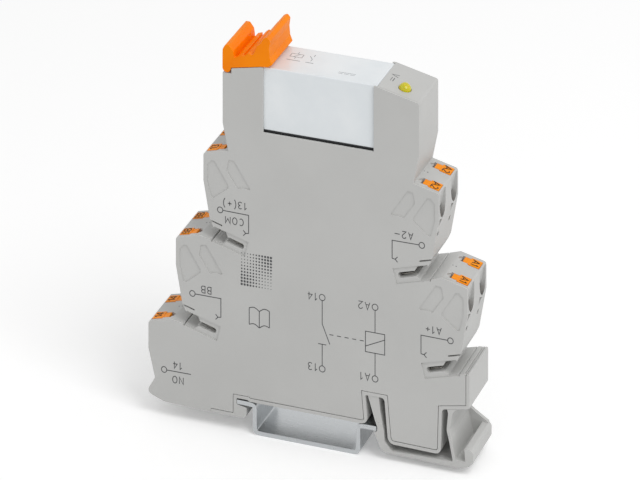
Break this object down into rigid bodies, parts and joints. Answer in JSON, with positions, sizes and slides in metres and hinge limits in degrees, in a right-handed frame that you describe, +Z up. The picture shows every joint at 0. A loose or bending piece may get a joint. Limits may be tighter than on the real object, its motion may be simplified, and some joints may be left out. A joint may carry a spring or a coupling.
{
  "type": "slim interface relay",
  "caption": "Slim rail-mount interface relay: stepped grey housing with push-in terminals, orange buttons, a plug-in relay under a swinging bracket, a lamp and a sprung rail foot.",
  "frame": {"origin": "centre of the rail seat: middle of the 35 mm rail, on top of its lips, half way through the module's thickness", "axes": "+Z up away from the rail, +X towards the coil terminals and the sprung foot, +Y from the cover to the back wall"},
  "size_m": [0.0816, 0.014, 0.0929],
  "materials": {
    "grey_housing": "moulded polyamide, fine matt texture",
    "orange_plastic": "moulded, satin",
    "relay_white": "moulded, satin white",
    "relay_black": "moulded, matt black",
    "bobbin_plastic": "moulded, natural",
    "copper_wire": "enamelled copper wire",
    "soft_iron": "plated soft iron",
    "contact_copper": "tinned copper alloy",
    "spring_steel": "spring steel",
    "circuit_board": "glass-fibre board with green lacquer",
    "component_black": "moulded, matt",
    "resistor_body": "lacquered",
    "capacitor_sleeve": "sleeved",
    "lamp_lens": "clear tinted lens"
  },
  "bodies": {
    "housing": {"housing_shell": "grey_housing", "side_cover": "grey_housing", "foot_leaf_left": "grey_housing", "foot_leaf_right": "grey_housing", "coil_socket": "contact_copper", "control_board": "circuit_board", "bridge_rectifier": "component_black", "flyback_diode": "component_black", "series_resistor": "resistor_body", "filter_capacitor": "capacitor_sleeve", "indicator_lamp": "lamp_lens", "lamp_leads": "spring_steel", "busbar_13": "contact_copper", "busbar_bb": "contact_copper", "busbar_14": "contact_copper", "busbar_a2": "contact_copper", "busbar_a1": "contact_copper", "clamp_spring_13_front": "spring_steel", "clamp_spring_13_rear": "spring_steel", "clamp_spring_bb_front": "spring_steel", "clamp_spring_bb_rear": "spring_steel", "clamp_spring_14_front": "spring_steel", "clamp_spring_14_rear": "spring_steel", "clamp_spring_a2_front": "spring_steel", "clamp_spring_a2_rear": "spring_steel", "clamp_spring_a1_front": "spring_steel", "clamp_spring_a1_rear": "spring_steel"},
    "bracket": {"retaining_bracket": "orange_plastic", "bracket_pin": "soft_iron"},
    "relay": {"relay_case": "relay_white", "relay_base": "relay_black", "coil_bobbin": "bobbin_plastic", "coil_winding": "copper_wire", "coil_core": "soft_iron", "coil_yoke": "soft_iron", "com_terminal": "contact_copper", "fixed_contact": "contact_copper", "coil_pins": "contact_copper"},
    "armature": {"armature": "soft_iron", "contact_spring": "spring_steel", "moving_contact": "spring_steel"},
    "foot": {"rail_foot": "grey_housing"},
    "button_13_front": {"button_13_front": "orange_plastic"},
    "button_13_rear": {"button_13_rear": "orange_plastic"},
    "button_bb_front": {"button_bb_front": "orange_plastic"},
    "button_bb_rear": {"button_bb_rear": "orange_plastic"},
    "button_14_front": {"button_14_front": "orange_plastic"},
    "button_14_rear": {"button_14_rear": "orange_plastic"},
    "button_a2_front": {"button_a2_front": "orange_plastic"},
    "button_a2_rear": {"button_a2_rear": "orange_plastic"},
    "button_a1_front": {"button_a1_front": "orange_plastic"},
    "button_a1_rear": {"button_a1_rear": "orange_plastic"}
  },
  "joints": [
    {"name": "bracket_swing", "type": "hinge", "parent": "housing", "child": "bracket", "pos_m": [-0.02015, 0, 0.0782], "axis": [0, -1, 0], "range_deg": [0, 80]},
    {"name": "relay_lift", "type": "slide", "parent": "housing", "child": "relay", "axis": [0, 0, 1], "range_m": [0, 0.0119]},
    {"name": "armature_tilt", "type": "hinge", "parent": "relay", "child": "armature", "pos_m": [-0.00167, 0, 0.06609], "axis": [0, 1, 0], "range_deg": [0, 3], "stiffness_Nm_per_rad": 0.5},
    {"name": "foot_slide", "type": "slide", "parent": "housing", "child": "foot", "axis": [1, 0, 0], "range_m": [0, 0.00075], "stiffness_N_per_m": 8000, "deforming": ["foot_leaf_left", "foot_leaf_right"]},
    {"name": "button_13_front_press", "type": "slide", "parent": "housing", "child": "button_13_front", "axis": [0.225, 0, -0.9744], "range_m": [0, 0.0014], "stiffness_N_per_m": 2000, "deforming": ["clamp_spring_13_front"]},
    {"name": "button_13_rear_press", "type": "slide", "parent": "housing", "child": "button_13_rear", "axis": [0.225, 0, -0.9744], "range_m": [0, 0.0014], "stiffness_N_per_m": 2000, "deforming": ["clamp_spring_13_rear"]},
    {"name": "button_bb_front_press", "type": "slide", "parent": "housing", "child": "button_bb_front", "axis": [0.225, 0, -0.9744], "range_m": [0, 0.0014], "stiffness_N_per_m": 2000, "deforming": ["clamp_spring_bb_front"]},
    {"name": "button_bb_rear_press", "type": "slide", "parent": "housing", "child": "button_bb_rear", "axis": [0.225, 0, -0.9744], "range_m": [0, 0.0014], "stiffness_N_per_m": 2000, "deforming": ["clamp_spring_bb_rear"]},
    {"name": "button_14_front_press", "type": "slide", "parent": "housing", "child": "button_14_front", "axis": [0.225, 0, -0.9744], "range_m": [0, 0.0014], "stiffness_N_per_m": 2000, "deforming": ["clamp_spring_14_front"]},
    {"name": "button_14_rear_press", "type": "slide", "parent": "housing", "child": "button_14_rear", "axis": [0.225, 0, -0.9744], "range_m": [0, 0.0014], "stiffness_N_per_m": 2000, "deforming": ["clamp_spring_14_rear"]},
    {"name": "button_a2_front_press", "type": "slide", "parent": "housing", "child": "button_a2_front", "axis": [-0.225, 0, -0.9744], "range_m": [0, 0.0014], "stiffness_N_per_m": 2000, "deforming": ["clamp_spring_a2_front"]},
    {"name": "button_a2_rear_press", "type": "slide", "parent": "housing", "child": "button_a2_rear", "axis": [-0.225, 0, -0.9744], "range_m": [0, 0.0014], "stiffness_N_per_m": 2000, "deforming": ["clamp_spring_a2_rear"]},
    {"name": "button_a1_front_press", "type": "slide", "parent": "housing", "child": "button_a1_front", "axis": [-0.225, 0, -0.9744], "range_m": [0, 0.0014], "stiffness_N_per_m": 2000, "deforming": ["clamp_spring_a1_front"]},
    {"name": "button_a1_rear_press", "type": "slide", "parent": "housing", "child": "button_a1_rear", "axis": [-0.225, 0, -0.9744], "range_m": [0, 0.0014], "stiffness_N_per_m": 2000, "deforming": ["clamp_spring_a1_rear"]}
  ],
  "couplings": [
    {"joint": "bracket_swing", "follows": "relay_lift", "rad_per_m": 117.3}
  ]
}
